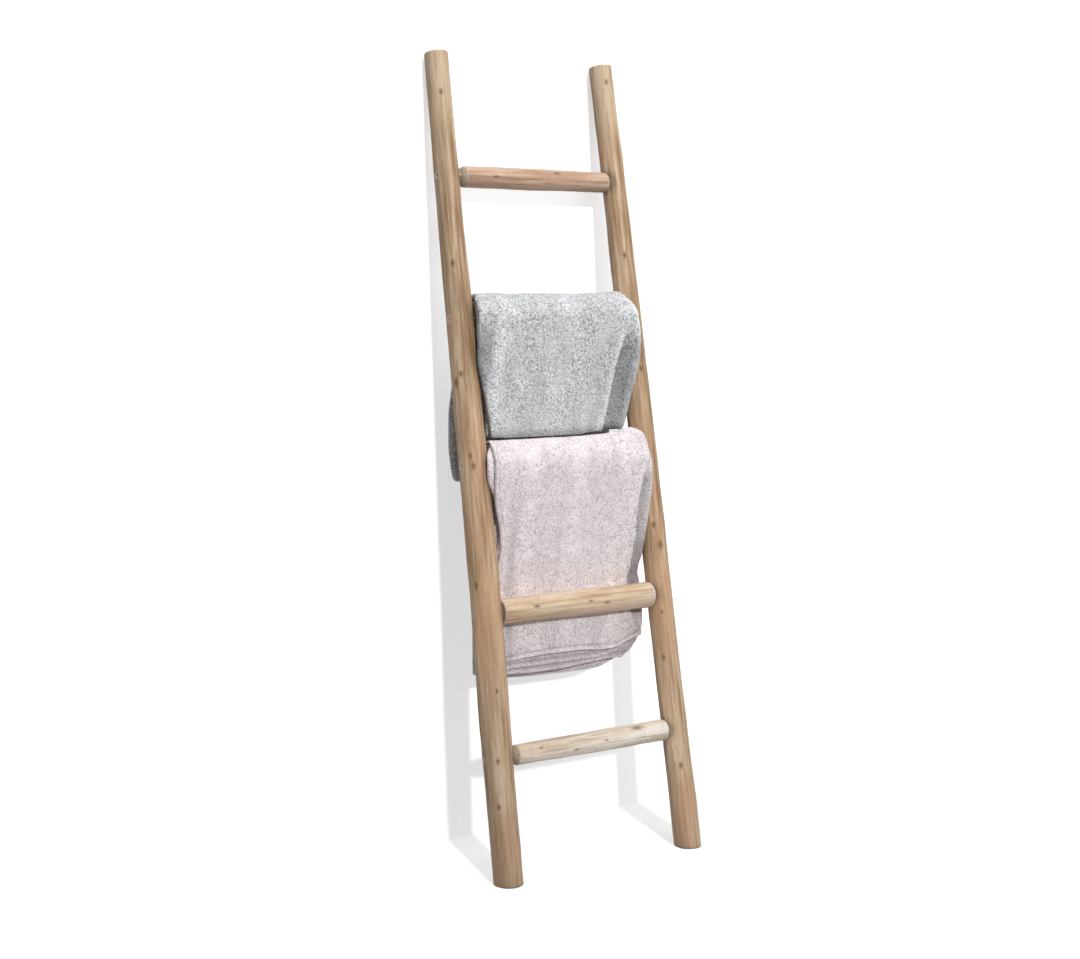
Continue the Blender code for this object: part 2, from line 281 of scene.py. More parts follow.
# ---------------------------------------------------------------- wood
def wood(name, dark, mid, light, warm, knot=(0.11, 0.06, 0.035), gloss=0.58, streaks=1.0, spots=0.5, seed=0.0):
    """Peeled round wood. Reads the grain, knot, end and raw attributes that the meshes carry."""
    n = Nodes(name)
    grain = n.node("ShaderNodeVectorMath", 0, {0: n.attribute("grain", "Vector"), 1: (seed, seed * 0.7, seed * 1.3)},
                   operation="ADD")
    broad = n.noise(n.scaled(grain, (26, 26, 3.2)), detail=3)
    mid_n = n.noise(n.scaled(grain, (150, 150, 4.5)), detail=4, rough=0.6)
    fine = n.noise(n.scaled(grain, (620, 620, 11)), detail=3, rough=0.6)
    fleck = n.noise(n.scaled(grain, (420, 420, 90)), detail=2)
    patch = n.noise(n.scaled(grain, (11, 11, 5)), detail=2)
    tone = n.math("ADD", n.math("MULTIPLY", broad, 0.55), n.math("MULTIPLY", mid_n, 0.45))
    colour = n.ramp(tone, [(0.38, dark), (0.49, mid), (0.58, light)])
    colour = n.mix(n.map(patch, 0.46, 0.68, 0.0, 0.75, True), colour, (*warm, 1.0))
    # long thin darker lines and small dark flecks
    line = n.map(fine, 0.54, 0.70, 0.0, 0.42 * streaks, True)
    colour = n.mix(line, colour, (dark[0] * 0.55, dark[1] * 0.52, dark[2] * 0.48, 1.0))
    pale = n.map(fine, 0.44, 0.30, 0.0, 0.30 * streaks, True)
    colour = n.mix(pale, colour, (min(1, light[0] * 1.12), min(1, light[1] * 1.12), min(1, light[2] * 1.12), 1.0))
    dots = n.math("MULTIPLY", n.map(fleck, 0.66, 0.74, 0.0, spots, True), n.map(patch, 0.42, 0.52, 1.0, 0.25))
    colour = n.mix(dots, colour, (*knot, 1.0))
    nick = n.noise(n.scaled(grain, (75, 75, 1150)), detail=2, rough=0.6)
    nick_zone = n.map(n.noise(n.scaled(grain, (24, 24, 9)), detail=1), 0.50, 0.60, 0.0, 1.0, True)
    nick = n.math("MULTIPLY", n.map(nick, 0.60, 0.70, 0.0, 0.55 * spots + 0.1, True), nick_zone)
    colour = n.mix(nick, colour, (dark[0] * 0.45, dark[1] * 0.42, dark[2] * 0.38, 1.0))
    # knots: dark heart with a brown halo
    k = n.attribute("knot")
    halo = n.math("MULTIPLY", n.map(k, 0.05, 0.6, 0.0, 0.62, True), n.map(fine, 0.3, 0.7, 0.7, 1.0))
    colour = n.mix(halo, colour, (dark[0] * 0.62, dark[1] * 0.52, dark[2] * 0.42, 1.0))
    colour = n.mix(n.math("MULTIPLY", n.map(k, 0.55, 0.95, 0.0, 0.80, True), n.map(mid_n, 0.35, 0.60, 0.45, 1.0)), colour, (*knot, 1.0))
    # freshly cut rims, end grain, a darker foot rim and painted shade at the joints and in the holes
    raw = n.attribute("raw")
    colour = n.mix(n.map(raw, 0.0, 1.0, 0.0, 0.85), colour, (0.74, 0.66, 0.55, 1.0))
    colour = n.mix(n.map(raw, 1.0, 2.0, 0.0, 0.95), colour, (0.93, 0.90, 0.86, 1.0))
    end = n.attribute("end")
    position = n.attribute("face", "Vector")
    radius = n.node("ShaderNodeVectorMath", "Value", {0: position}, operation="LENGTH")
    ring_wobble = n.math("ADD", radius, n.math("MULTIPLY", n.noise(n.scaled(position, (60, 60, 60)), detail=2), 0.006))
    rings = n.math("SINE", n.math("MULTIPLY", ring_wobble, 2 * math.pi / 0.0026))
    rough_cut = n.noise(n.scaled(position, (700, 700, 700)), detail=4, rough=0.7)
    end_col = n.ramp(n.math("ADD", n.math("MULTIPLY", rings, 0.10), rough_cut),
                     [(0.32, (0.22, 0.155, 0.11)), (0.52, (0.42, 0.32, 0.235)), (0.72, (0.64, 0.54, 0.43))])
    colour = n.mix(end, colour, end_col)
    # painted shade: dark contact lines at the joints and dark screw holes; the pole foot is also darker towards the
    # floor
    foot_darkening_and_painted_shade = n.attribute("foot_darkening_and_painted_shade")
    colour = n.mix(foot_darkening_and_painted_shade, colour, (0.07, 0.055, 0.04, 1.0))
    colour = n.node("ShaderNodeVectorMath", 0, {0: colour, "Scale": n.attribute("tone")}, operation="SCALE")
    n.put(n.shader.inputs["Base Color"], colour)
    rough = n.map(mid_n, 0.3, 0.7, gloss + 0.10, gloss - 0.08)
    rough = n.math("ADD", rough, n.math("MULTIPLY", end, 0.25), clamp=True)
    n.put(n.shader.inputs["Roughness"], rough)
    height = n.math("ADD", n.math("MULTIPLY", fine, 0.5), n.math("MULTIPLY", mid_n, 0.6))
    height = n.math("SUBTRACT", height, n.math("MULTIPLY", n.math("ADD", dots, line), 0.5))
    height = n.math("ADD", height, n.math("MULTIPLY", n.math("MULTIPLY", end, rough_cut), 2.0))
    n.put(n.shader.inputs["Normal"], n.bump(height, 0.55, 0.0012))
    n.shader.inputs["Specular IOR Level"].default_value = 0.35
    n.mat.diffuse_color = (*mid, 1.0)
    return n.mat


def wood_attributes(mesh, local, axis, knots, end=None, raw=None, foot_darkening_and_painted_shade=None, ring_offset=(0.0, 0.0), tone=None):
    """local: points with the grain along the given axis. The grain bends round each knot (along, angle, size)."""
    if axis == 0:
        along, a, b = local[:, 0], local[:, 1], local[:, 2]
    else:
        along, a, b = local[:, 2], local[:, 0], local[:, 1]
    radius = np.hypot(a, b)
    theta = np.arctan2(b, a)
    strength = np.zeros(len(local))
    shift = np.zeros(len(local))
    stretch = 2.6 if axis == 0 else 1.7
    for s0, t0, size in knots:
        dt = (theta - t0 + math.pi) % (2 * math.pi) - math.pi
        d_round = dt * np.maximum(radius, 0.01)
        d_long = along - s0
        d2 = (d_round / size) ** 2 + (d_long / (size * stretch)) ** 2
        strength = np.maximum(strength, np.exp(-d2))
        shift += np.sign(d_round) * size * 0.9 * np.exp(-((d_long / (size * 5)) ** 2)) * np.exp(-np.abs(d_round) / (size * 2.0))
    bent = theta + shift / np.maximum(radius, 0.01)
    add_vector(mesh, "grain", np.stack([radius * np.cos(bent), radius * np.sin(bent), along], axis=1))
    add_vector(mesh, "face", np.stack([a + ring_offset[0], b + ring_offset[1], np.zeros_like(a)], axis=1))
    add_float(mesh, "knot", strength)
    zero = np.zeros(len(local))
    add_float(mesh, "end", zero if end is None else end)
    add_float(mesh, "raw", zero if raw is None else raw)
    add_float(mesh, "tone", zero + 1.0 if tone is None else tone)
    add_float(mesh, "foot_darkening_and_painted_shade", zero if foot_darkening_and_painted_shade is None else foot_darkening_and_painted_shade)


def knot_bumps(theta, along, radius, knots, height):
    out = np.zeros(np.broadcast(theta, along).shape)
    for i, (s0, t0, size) in enumerate(knots):
        dt = (theta - t0 + math.pi) % (2 * math.pi) - math.pi
        d2 = (dt * radius / (size * 1.9)) ** 2 + ((along - s0) / (size * 3.4)) ** 2
        core = (dt * radius / (size * 0.55)) ** 2 + ((along - s0) / (size * 0.7)) ** 2
        out += height * (size / 0.006) * np.exp(-d2) - 0.0009 * (i % 2) * np.exp(-core)
    return out


RAIL_KNOTS = {
    "left_rail": [
        (1.659, math.radians(-119), 0.0045), (1.295, math.radians(-134), 0.0050), (1.062, math.radians(-139), 0.0040),
        (1.045, math.radians(-166), 0.0060), (0.889, math.radians(-128), 0.0042), (0.868, math.radians(-120), 0.0048),
        (0.256, math.radians(-124), 0.0042), (0.163, math.radians(-134), 0.0040), (1.52, math.radians(30), 0.0060),
        (1.20, math.radians(70), 0.0070), (0.71, math.radians(100), 0.0060), (0.42, math.radians(20), 0.0080),
        (0.62, math.radians(-150), 0.0045), (0.40, math.radians(-105), 0.0035), (0.98, math.radians(140), 0.0055),
    ],
    "right_rail": [
        (1.709, math.radians(-110), 0.0040), (1.317, math.radians(-115), 0.0042), (1.062, math.radians(-96), 0.0045),
        (0.713, math.radians(-120), 0.0050), (0.668, math.radians(-98), 0.0062), (0.42, math.radians(-140), 0.0040),
        (0.18, math.radians(-118), 0.0045), (1.47, math.radians(60), 0.0060), (1.10, math.radians(20), 0.0060),
        (0.80, math.radians(110), 0.0075), (0.35, math.radians(60), 0.0060), (0.52, math.radians(-125), 0.0030),
    ],
}
# how far each pole wanders from straight, across the view, in metres
RAIL_BOW = {
    "left_rail": ((0, -0.0014), (0.10, -0.0014), (0.194, -0.0024), (0.318, -0.0014), (0.443, 0.0006), (0.568, 0.0026),
                  (0.693, 0.0026), (0.819, 0.0018), (0.945, 0.0006), (1.123, 0.0), (1.30, -0.0014), (1.404, -0.0020),
                  (1.609, -0.0022), (1.75, -0.0018)),
    "right_rail": ((0, 0.0010), (0.175, 0.0004), (0.255, 0.0008), (0.335, -0.0010), (0.416, -0.0012), (0.80, -0.0004),
                   (1.25, -0.0008), (1.306, 0.0), (1.415, -0.0004), (1.551, -0.0011), (1.634, -0.0022), (1.75, -0.0028)),
}


# how much darker or lighter each pole is along its length
RAIL_TONE = {
    "left_rail": ((0, 0.80), (0.25, 0.83), (0.42, 0.98), (0.80, 1.06), (1.0, 1.04), (1.15, 0.92), (1.35, 0.90), (1.5, 0.92), (1.75, 0.90)),
    "right_rail": ((0, 0.96), (0.3, 1.02), (0.8, 1.0), (1.2, 0.98), (1.5, 0.95), (1.75, 0.94)),
}


def make_rail(name, side):
    sides, body_rows = 132, 560
    theta = 2 * math.pi * np.arange(sides) / sides
    radius_of = smooth_table(RAIL_RADII[name], 0.035)
    bow = smooth_table(RAIL_BOW[name], 0.05)
    world = LADDER @ rail_matrix(side)
    seed = 11 if side < 0 else 29

    def place(fraction, shrink):
        """A ring at that fraction from the level foot to the top, at that share of the full radius."""
        s = fraction * RAIL_LENGTH
        r = radius_of(s)
        circle = np.stack([np.cos(theta), np.sin(theta)], axis=1)
        pts = np.concatenate([circle * 0.12, np.full((sides, 1), s * 0.8)], axis=1)
        wob = waves(pts, seed, 0.10, 0.5) * 0.0007 + waves(pts * np.array([2.2, 2.2, 1.0]), seed + 1, 0.03, 0.12) * 0.00028
        r_ring = (r * (1 + 0.02 * np.cos(2 * theta + 3 * s + seed)) + wob
                  + knot_bumps(theta, s, r, RAIL_KNOTS[name], 0.0011)) * shrink
        cx = bow(s) * math.cos(math.radians(34))
        cy = -bow(s) * math.sin(math.radians(34)) + 0.0010 * math.sin(2.3 * s + seed)
        x, y = cx + r_ring * np.cos(theta), cy + r_ring * np.sin(theta)
        foot = -(world[2][0] * x + world[2][1] * y + world[2][3]) / world[2][2]
        return np.stack([x, y, foot + (RAIL_LENGTH - foot) * fraction], axis=1)

    rows = [place(0.0, f) for f in (0.0, 0.25, 0.5, 0.75, 0.90, 0.965)]
    rows += [place(f / RAIL_LENGTH, g) for f, g in ((0.0003, 0.985), (0.0011, 0.997), (0.0022, 1.0))]
    top = 1.0 - 0.0045 / RAIL_LENGTH
    rows += [place(f, 1.0) for f in np.linspace(0.0040 / RAIL_LENGTH, top, body_rows)]
    for a in np.radians((18, 36, 54, 72, 90)):
        rows.append(place(1.0 - 0.0035 * (1 - math.sin(a)) / RAIL_LENGTH, 1.0 - 0.12 * (1 - math.cos(a))))
    rows += [place(1.0, f) for f in (0.80, 0.66, 0.5, 0.33, 0.16, 0.0)]
    mesh = polar_solid("look_" + name, np.array(rows))
    fix_normals(mesh)
    obj = link("look_" + name, mesh, world)
    cutters = []
    for k, (s, *_rest) in enumerate(RUNGS.values()):
        hs, outer = half_spread(s), float(radius_of(s))
        profile = [(-outer - 0.03, 0.0), (-outer - 0.03, MORTISE_RADIUS), (-0.0015, MORTISE_RADIUS), (-0.0015, 0.0027),
                   (outer - 0.0054, 0.0027), (outer - 0.0022, 0.0050), (outer + 0.012, 0.0050), (outer + 0.012, 0.0)]
        profile = [(side * (hs + p), r) for p, r in profile]
        if side < 0:
            profile.reverse()
        cutter = link("cutter", x_lathe("cutter", profile, 40), LADDER @ Matrix.Translation((0, 0, s)))
        cutters.append(cutter)
    cut(obj, cutters)
    mesh = obj.data
    p = coords_of(mesh)
    up = np.array([world[2][k] for k in range(3)])
    height = p @ up + world[2][3]
    along = p[:, 2]
    foot_face = height < 0.0004
    end = np.where(foot_face | (along > RAIL_LENGTH - 0.0006), 1.0, 0.0)
    # the foot grows darker towards the floor
    foot_darkening_and_painted_shade = 0.85 * np.exp(-height / 0.0016) * (~foot_face) + 0.25 * np.exp(-height / 0.02)
    # pale broken rim round each screw hole; painted shade inside the holes and round each mortise where the rung meets
    # the pole
    raw = np.zeros(len(p))
    to_ladder = np.array(rail_matrix(side))
    q = p @ to_ladder[:3, :3].T + to_ladder[:3, 3]
    for s, *_rest in RUNGS.values():
        hs = half_spread(s)
        d = np.hypot(q[:, 1], q[:, 2] - s)
        outside = (side * q[:, 0]) > hs
        ragged = 0.0011 * np.sin(5 * np.arctan2(q[:, 2] - s, q[:, 1]) + s * 20)
        raw = np.maximum(raw, np.where(outside, np.clip(1.3 - (d + ragged - 0.0052) / 0.0022, 0, 1), 0.0))
        foot_darkening_and_painted_shade = np.maximum(foot_darkening_and_painted_shade, np.where(outside & (d < 0.00495), 0.35, 0.0))
        inner = (side * q[:, 0]) < hs - 0.010
        foot_darkening_and_painted_shade = np.maximum(foot_darkening_and_painted_shade, np.where(inner, 0.50 * np.exp(-np.clip(d - 0.022, 0, 1) / 0.006), 0.0))
    wood_attributes(mesh, p, 2, RAIL_KNOTS[name], end, raw, np.clip(foot_darkening_and_painted_shade, 0, 1), (0.004 * side, -0.003),
                    smooth_table(RAIL_TONE[name], 0.05)(along) * (1 + 0.07 * waves(p * np.array([9.0, 9.0, 1.0]), seed + 40, 0.10, 0.6)))
    return obj


RUNG_KNOTS = {
    "rung_1": [(-0.11, math.radians(186), 0.0030), (0.05, math.radians(150), 0.0035), (0.13, math.radians(70), 0.005)],
    "rung_2": [(0.02, math.radians(80), 0.005)],
    "rung_3": [(-0.07, math.radians(60), 0.005)],
    "rung_4": [(-0.118, math.radians(172), 0.0032), (0.022, math.radians(176), 0.0026), (0.064, math.radians(190), 0.0034),
               (0.03, math.radians(80), 0.006)],
    "rung_5": [(-0.137, math.radians(158), 0.0026), (-0.048, math.radians(200), 0.0028), (0.030, math.radians(176), 0.0022),
               (0.118, math.radians(138), 0.0062), (-0.06, math.radians(20), 0.005)],
}


def make_rung(name, seed):
    s, r_left, r_right, gap_left, gap_right = RUNGS[name]
    fine = name in ("rung_1", "rung_4", "rung_5")
    sides, count = (112, 230) if fine else (64, 60)
    a = 2 * math.pi * np.arange(sides) / sides
    xs_ends = []
    for side, rail, gap in ((-1, "left_rail", gap_left), (1, "right_rail", gap_right)):
        hs = half_spread(s)
        outer = np.interp(s, [t[0] for t in RAIL_RADII[rail]], [t[1] for t in RAIL_RADII[rail]])
        xs_ends.append((side * (hs - outer - gap), side * (hs - 0.0020), side))
    (x_left, tip_left, _), (x_right, tip_right, _) = xs_ends
    knots = RUNG_KNOTS[name]

    def ring(x, r=None, shrink=1.0, inset=0.0, ragged=0.0):
        """One ring: barrel radius at x if r isn't given, moved along X by a rough saw cut where ragged."""
        xx = np.full(sides, float(x))
        if r is None:
            t = (x - x_left) / (x_right - x_left)
            base = r_left + (r_right - r_left) * t + 0.0006 * math.sin(math.pi * np.clip(t, 0, 1)) * (1 if seed % 2 else -1)
            pts = np.stack([np.full(sides, x * 0.9), 0.10 * np.cos(a), 0.10 * np.sin(a)], axis=1)
            rr = base * (1 + 0.018 * np.cos(2 * a + seed + 5 * x)) + waves(pts, seed, 0.07, 0.3) * 0.0005
            rr = rr + waves(pts * 2.4, seed + 5, 0.05, 0.12) * 0.00018 + knot_bumps(a, x, base, knots, 0.0005)
            rr = (rr - inset) * shrink
        else:
            rr = np.full(sides, r)
        if ragged:
            pts = np.stack([rr * np.cos(a), rr * np.sin(a)], axis=1)
            xx = xx + ragged * waves(pts, seed + 9, 0.003, 0.02)
        return np.stack([xx, rr * np.cos(a), rr * np.sin(a)], axis=1)

    rows, kinds = [], []  # kinds: 0 barrel, 1 end grain, 2 chamfer, 3 tenon

    def put(kind, *args, **kwargs):
        rows.append(ring(*args, **kwargs))
        kinds.append(kind)

    chamfer = 0.0030 if fine else 0.0015
    put(3, tip_left, 0.0)
    for r in (0.005, 0.009, 0.0122):
        put(3, tip_left, r)
    put(3, tip_left + 0.001, TENON_RADIUS - 0.0001)
    # rough-cut neck running down to the pole
    taper = max(gap_left - 0.0008, 0.0003)
    put(3, x_left - taper - 0.0002, TENON_RADIUS - 0.0001)
    for f, shrink in ((1.0, 0.66), (0.8, 0.74), (0.6, 0.80), (0.35, 0.86), (0.12, 0.90)):
        put(1, x_left - taper * f, None, shrink, ragged=0.0004)
    put(1, x_left, None, 1.0, inset=chamfer * 0.55, ragged=0.0003)
    put(2, x_left + chamfer * 0.4, None, 1.0, inset=chamfer * 0.28)
    for x in np.linspace(x_left + chamfer, x_right - chamfer, count):
        put(0, x)
    put(2, x_right - chamfer * 0.4, None, 1.0, inset=chamfer * 0.28)
    put(1, x_right, None, 1.0, inset=chamfer * 0.55, ragged=0.0003)
    for shrink in (0.85, 0.78, 0.70, 0.62):
        put(1, x_right, None, shrink, ragged=0.00045)
    put(3, x_right + 0.0002, TENON_RADIUS - 0.0001)
    put(3, tip_right - 0.001, TENON_RADIUS - 0.0001)
    for r in (0.0122, 0.009, 0.005):
        put(3, tip_right, r)
    put(3, tip_right, 0.0)
    mesh = polar_solid("look_" + name, np.array(rows))
    fix_normals(mesh)
    world = LADDER @ Matrix.Translation((0, 0, s))
    obj = link("look_" + name, mesh, world)
    cutters = []
    for side, rail in ((-1, "left_rail"), (1, "right_rail")):
        outer = np.interp(s, [t[0] for t in RAIL_RADII[rail]], [t[1] for t in RAIL_RADII[rail]])
        pilot = half_spread(s) + outer - SCREW_SINK - SCREW_LENGTH - 0.002
        profile = [(side * pilot, 0.0), (side * pilot, 0.0028), (side * (half_spread(s) + 0.01), 0.0028), (side * (half_spread(s) + 0.01), 0.0)]
        if side < 0:
            profile.reverse()
        cutters.append(link("cutter", x_lathe("cutter", profile, 24), world))
    cut(obj, cutters)
    mesh = obj.data
    p = coords_of(mesh)
    r = np.hypot(p[:, 1], p[:, 2])
    near_left, near_right = p[:, 0] - x_left, x_right - p[:, 0]
    end = np.where((near_left < 0.0009) | (near_right < 0.0009), 1.0, 0.0)
    neck = (near_left < 0.0005) & (near_left > -gap_left)
    edge = np.minimum(np.abs(near_left), np.abs(near_right))
    white = 2.0 if name in ("rung_4", "rung_5") else 0.4
    raw = np.where((near_right < chamfer * 1.35) & (near_right > -0.0008) & (r > 0.015), white, 0.0)
    end = np.where(raw > 1.0, 0.0, end)
    raw = np.maximum(raw, np.where(neck, 0.45, 0.0))
    raw = np.maximum(raw, np.where((near_left < chamfer * 1.1) & (near_left > 0.0008), 0.35, 0.0))
    # painted shade on the barrel next to each end, where the rung meets the pole
    foot_darkening_and_painted_shade = 0.22 * np.exp(-edge / 0.004) * (end < 0.5)
    wood_attributes(mesh, p, 0, knots, end, raw, foot_darkening_and_painted_shade, (0.003, 0.002))
    return obj


# ---------------------------------------------------------------- screws
def make_screw_mesh():
    """Countersunk wood screw along +X with its head's face at x = 0: cross recess, helical thread, drilled point."""
    sides, pitch = 28, 0.0022
    a = 2 * math.pi * np.arange(sides) / sides
    rows = []

    def ring(x, r):
        rows.append(np.stack([np.broadcast_to(x, (sides,)), r * np.cos(a), r * np.sin(a)], axis=1))

    ring(0.0, np.zeros(sides))
    for r in (0.0012, 0.0026, 0.0038):
        ring(0.0, np.full(sides, r))
    ring(-0.00008, np.full(sides, 0.00435))
    ring(-0.00035, np.full(sides, SCREW_HEAD))
    ring(-0.0007, np.full(sides, SCREW_HEAD - 0.0002))
    ring(-0.0030, np.full(sides, 0.0023))
    ring(-0.0060, np.full(sides, 0.0018))
    for x in np.arange(0.0070, SCREW_LENGTH - 0.0065, pitch / 6):
        phase = (x / pitch - a / (2 * math.pi)) % 1.0
        ridge = np.exp(-(((phase - 0.5) / 0.14) ** 2))
        fade = min(1.0, (x - 0.0065) / 0.003)
        ring(-x, 0.00155 + 0.00062 * ridge * fade)
    for f in (0.8, 0.55, 0.3, 0.12):
        ring(-(SCREW_LENGTH - 0.0062 * f), np.full(sides, 0.0018 * f))
    ring(-SCREW_LENGTH, np.zeros(sides))
    mesh = polar_solid("look_screw", np.array(rows)[::-1])
    fix_normals(mesh)
    obj = link("screw_master", mesh)
    cutters = []
    for turn in (0, 1):
        bm = bmesh.new()
        bmesh.ops.create_cube(bm, size=1.0)
        for v in bm.verts:
            deep = v.co.x < 0
            long_half = 0.0011 if deep else 0.0025
            v.co = Vector((-0.0017 if deep else 0.0006, math.copysign(long_half, v.co.y), math.copysign(0.00038, v.co.z)))
        bmesh.ops.recalc_face_normals(bm, faces=bm.faces)
        m = bpy.data.meshes.new("cutter")
        bm.to_mesh(m)
        bm.free()
        cutters.append(link("cutter", m, Matrix.Rotation(math.radians(90 * turn), 4, "X")))
    cut(obj, cutters)
    out = obj.data.copy()
    bpy.data.objects.remove(obj, do_unlink=True)
    out.shade_smooth()
    out.set_sharp_from_angle(angle=math.radians(38))
    return out


def steel():
    n = Nodes("look_screw_steel")
    c = n.node("ShaderNodeTexCoord", "Object")
    stain = n.noise(n.scaled(c, (600, 600, 600)), detail=4)
    n.put(n.shader.inputs["Base Color"], n.ramp(stain, [(0.35, (0.07, 0.06, 0.05)), (0.6, (0.26, 0.25, 0.23))]))
    n.shader.inputs["Metallic"].default_value = 1.0
    n.put(n.shader.inputs["Roughness"], n.map(stain, 0.3, 0.7, 0.55, 0.32))
    n.put(n.shader.inputs["Normal"], n.bump(n.noise(n.scaled(c, (2500, 2500, 2500)), detail=2), 0.25, 0.0002))
    return n.mat


# ---------------------------------------------------------------- throws
def plush(name, deep, body, tip, fleck_dark, seed, contrast=1.0):
    """Short dense pile: mottled tufts, slanting dark and light strokes, soft sheen, with painted shade and painted
    highlight scaling the colour.
    """
    n = Nodes(name)
    obj_c = n.node("ShaderNodeTexCoord", "Object")
    c = n.node("ShaderNodeVectorMath", 0, {0: obj_c, 1: (seed, seed * 2, seed * 3)}, operation="ADD")
    warp = n.noise(n.scaled(c, (90, 90, 90)), detail=2)
    slant = n.node("ShaderNodeVectorRotate", 0, {"Vector": c, "Axis": (0, 1, 0), "Angle": 0.85}, rotation_type="AXIS_ANGLE")
    slant = n.node("ShaderNodeVectorMath", 0, {0: slant, 1: n.node("ShaderNodeCombineXYZ", 0, {0: n.math("MULTIPLY", warp, 0.010), 2: n.math("MULTIPLY", warp, 0.006)})}, operation="ADD")
    strokes = n.noise(n.scaled(slant, (200, 250, 430)), detail=2, rough=0.55)
    tufts = n.noise(n.scaled(c, (300, 300, 300)), detail=2, rough=0.6)
    clumps = n.noise(n.scaled(c, (80, 80, 60)), detail=2)
    broad = n.noise(n.scaled(c, (20, 20, 12)), detail=2)
    pile = n.math("ADD", n.math("MULTIPLY", strokes, 0.55), n.math("MULTIPLY", tufts, 0.45))
    tone = n.math("ADD", pile, n.math("MULTIPLY", n.math("SUBTRACT", clumps, 0.5), 0.16))
    tone = n.math("ADD", tone, n.math("MULTIPLY", n.math("SUBTRACT", broad, 0.5), 0.10))
    w = 0.125 / contrast
    colour = n.ramp(tone, [(0.5 - w, deep), (0.5, body), (0.5 + w, tip)])
    specks = n.map(strokes, 0.40, 0.33, 0.0, 0.25 * contrast, True)
    colour = n.mix(specks, colour, (*fleck_dark, 1.0))
    # painted shade along the stitch groove of the turned hems
    hem = n.attribute("hem")
    colour = n.mix(n.math("MULTIPLY", hem, 0.35), colour, (*fleck_dark, 1.0))
    # painted shade and painted highlight scale the pile's colour
    painted_light_factor = n.math("ADD", n.attribute("painted_light"), 1.0)
    colour = n.node("ShaderNodeVectorMath", 0, {0: colour, "Scale": painted_light_factor}, operation="SCALE")
    n.put(n.shader.inputs["Base Color"], colour)
    n.shader.inputs["Roughness"].default_value = 0.95
    n.shader.inputs["Specular IOR Level"].default_value = 0.12
    n.shader.inputs["Sheen Weight"].default_value = 0.35
    n.shader.inputs["Sheen Roughness"].default_value = 0.45
    n.shader.inputs["Sheen Tint"].default_value = (1.0, 0.98, 0.98, 1.0)
    height = n.math("ADD", n.math("MULTIPLY", pile, 1.0), n.math("MULTIPLY", clumps, 0.8))
    n.put(n.shader.inputs["Normal"], n.bump(height, 0.85, 0.0035))
    n.mat.diffuse_color = (*body, 1.0)
    return n.mat


def rail_clearance(points):
    """Distance from each point to the nearer pole's surface, with 4 mm of sideways travel taken off."""
    q = points - np.array([0.0, FOOT_Y, 0.0])
    c, s = math.cos(LEAN), math.sin(LEAN)
    along = q[..., 2] * c + q[..., 1] * s
    out = q[..., 1] * c - q[..., 2] * s
    x = q[..., 0]
    side = np.where(x < 0, 0, 1)
    radius = np.where(side == 0,
                      np.interp(along, [t[0] for t in RAIL_RADII["left_rail"]], [t[1] for t in RAIL_RADII["left_rail"]]),
                      np.interp(along, [t[0] for t in RAIL_RADII["right_rail"]], [t[1] for t in RAIL_RADII["right_rail"]]))
    bow = np.where(side == 0, np.interp(along, [t[0] for t in RAIL_BOW["left_rail"]], [t[1] for t in RAIL_BOW["left_rail"]]),
                   np.interp(along, [t[0] for t in RAIL_BOW["right_rail"]], [t[1] for t in RAIL_BOW["right_rail"]]))
    centre = np.where(side == 0, -1, 1) * half_spread(along) + 0.83 * bow
    dx = np.maximum(np.abs(x - centre) - 0.0042, 0.0)
    return np.hypot(dx, out + 0.56 * bow) - radius - 0.0012


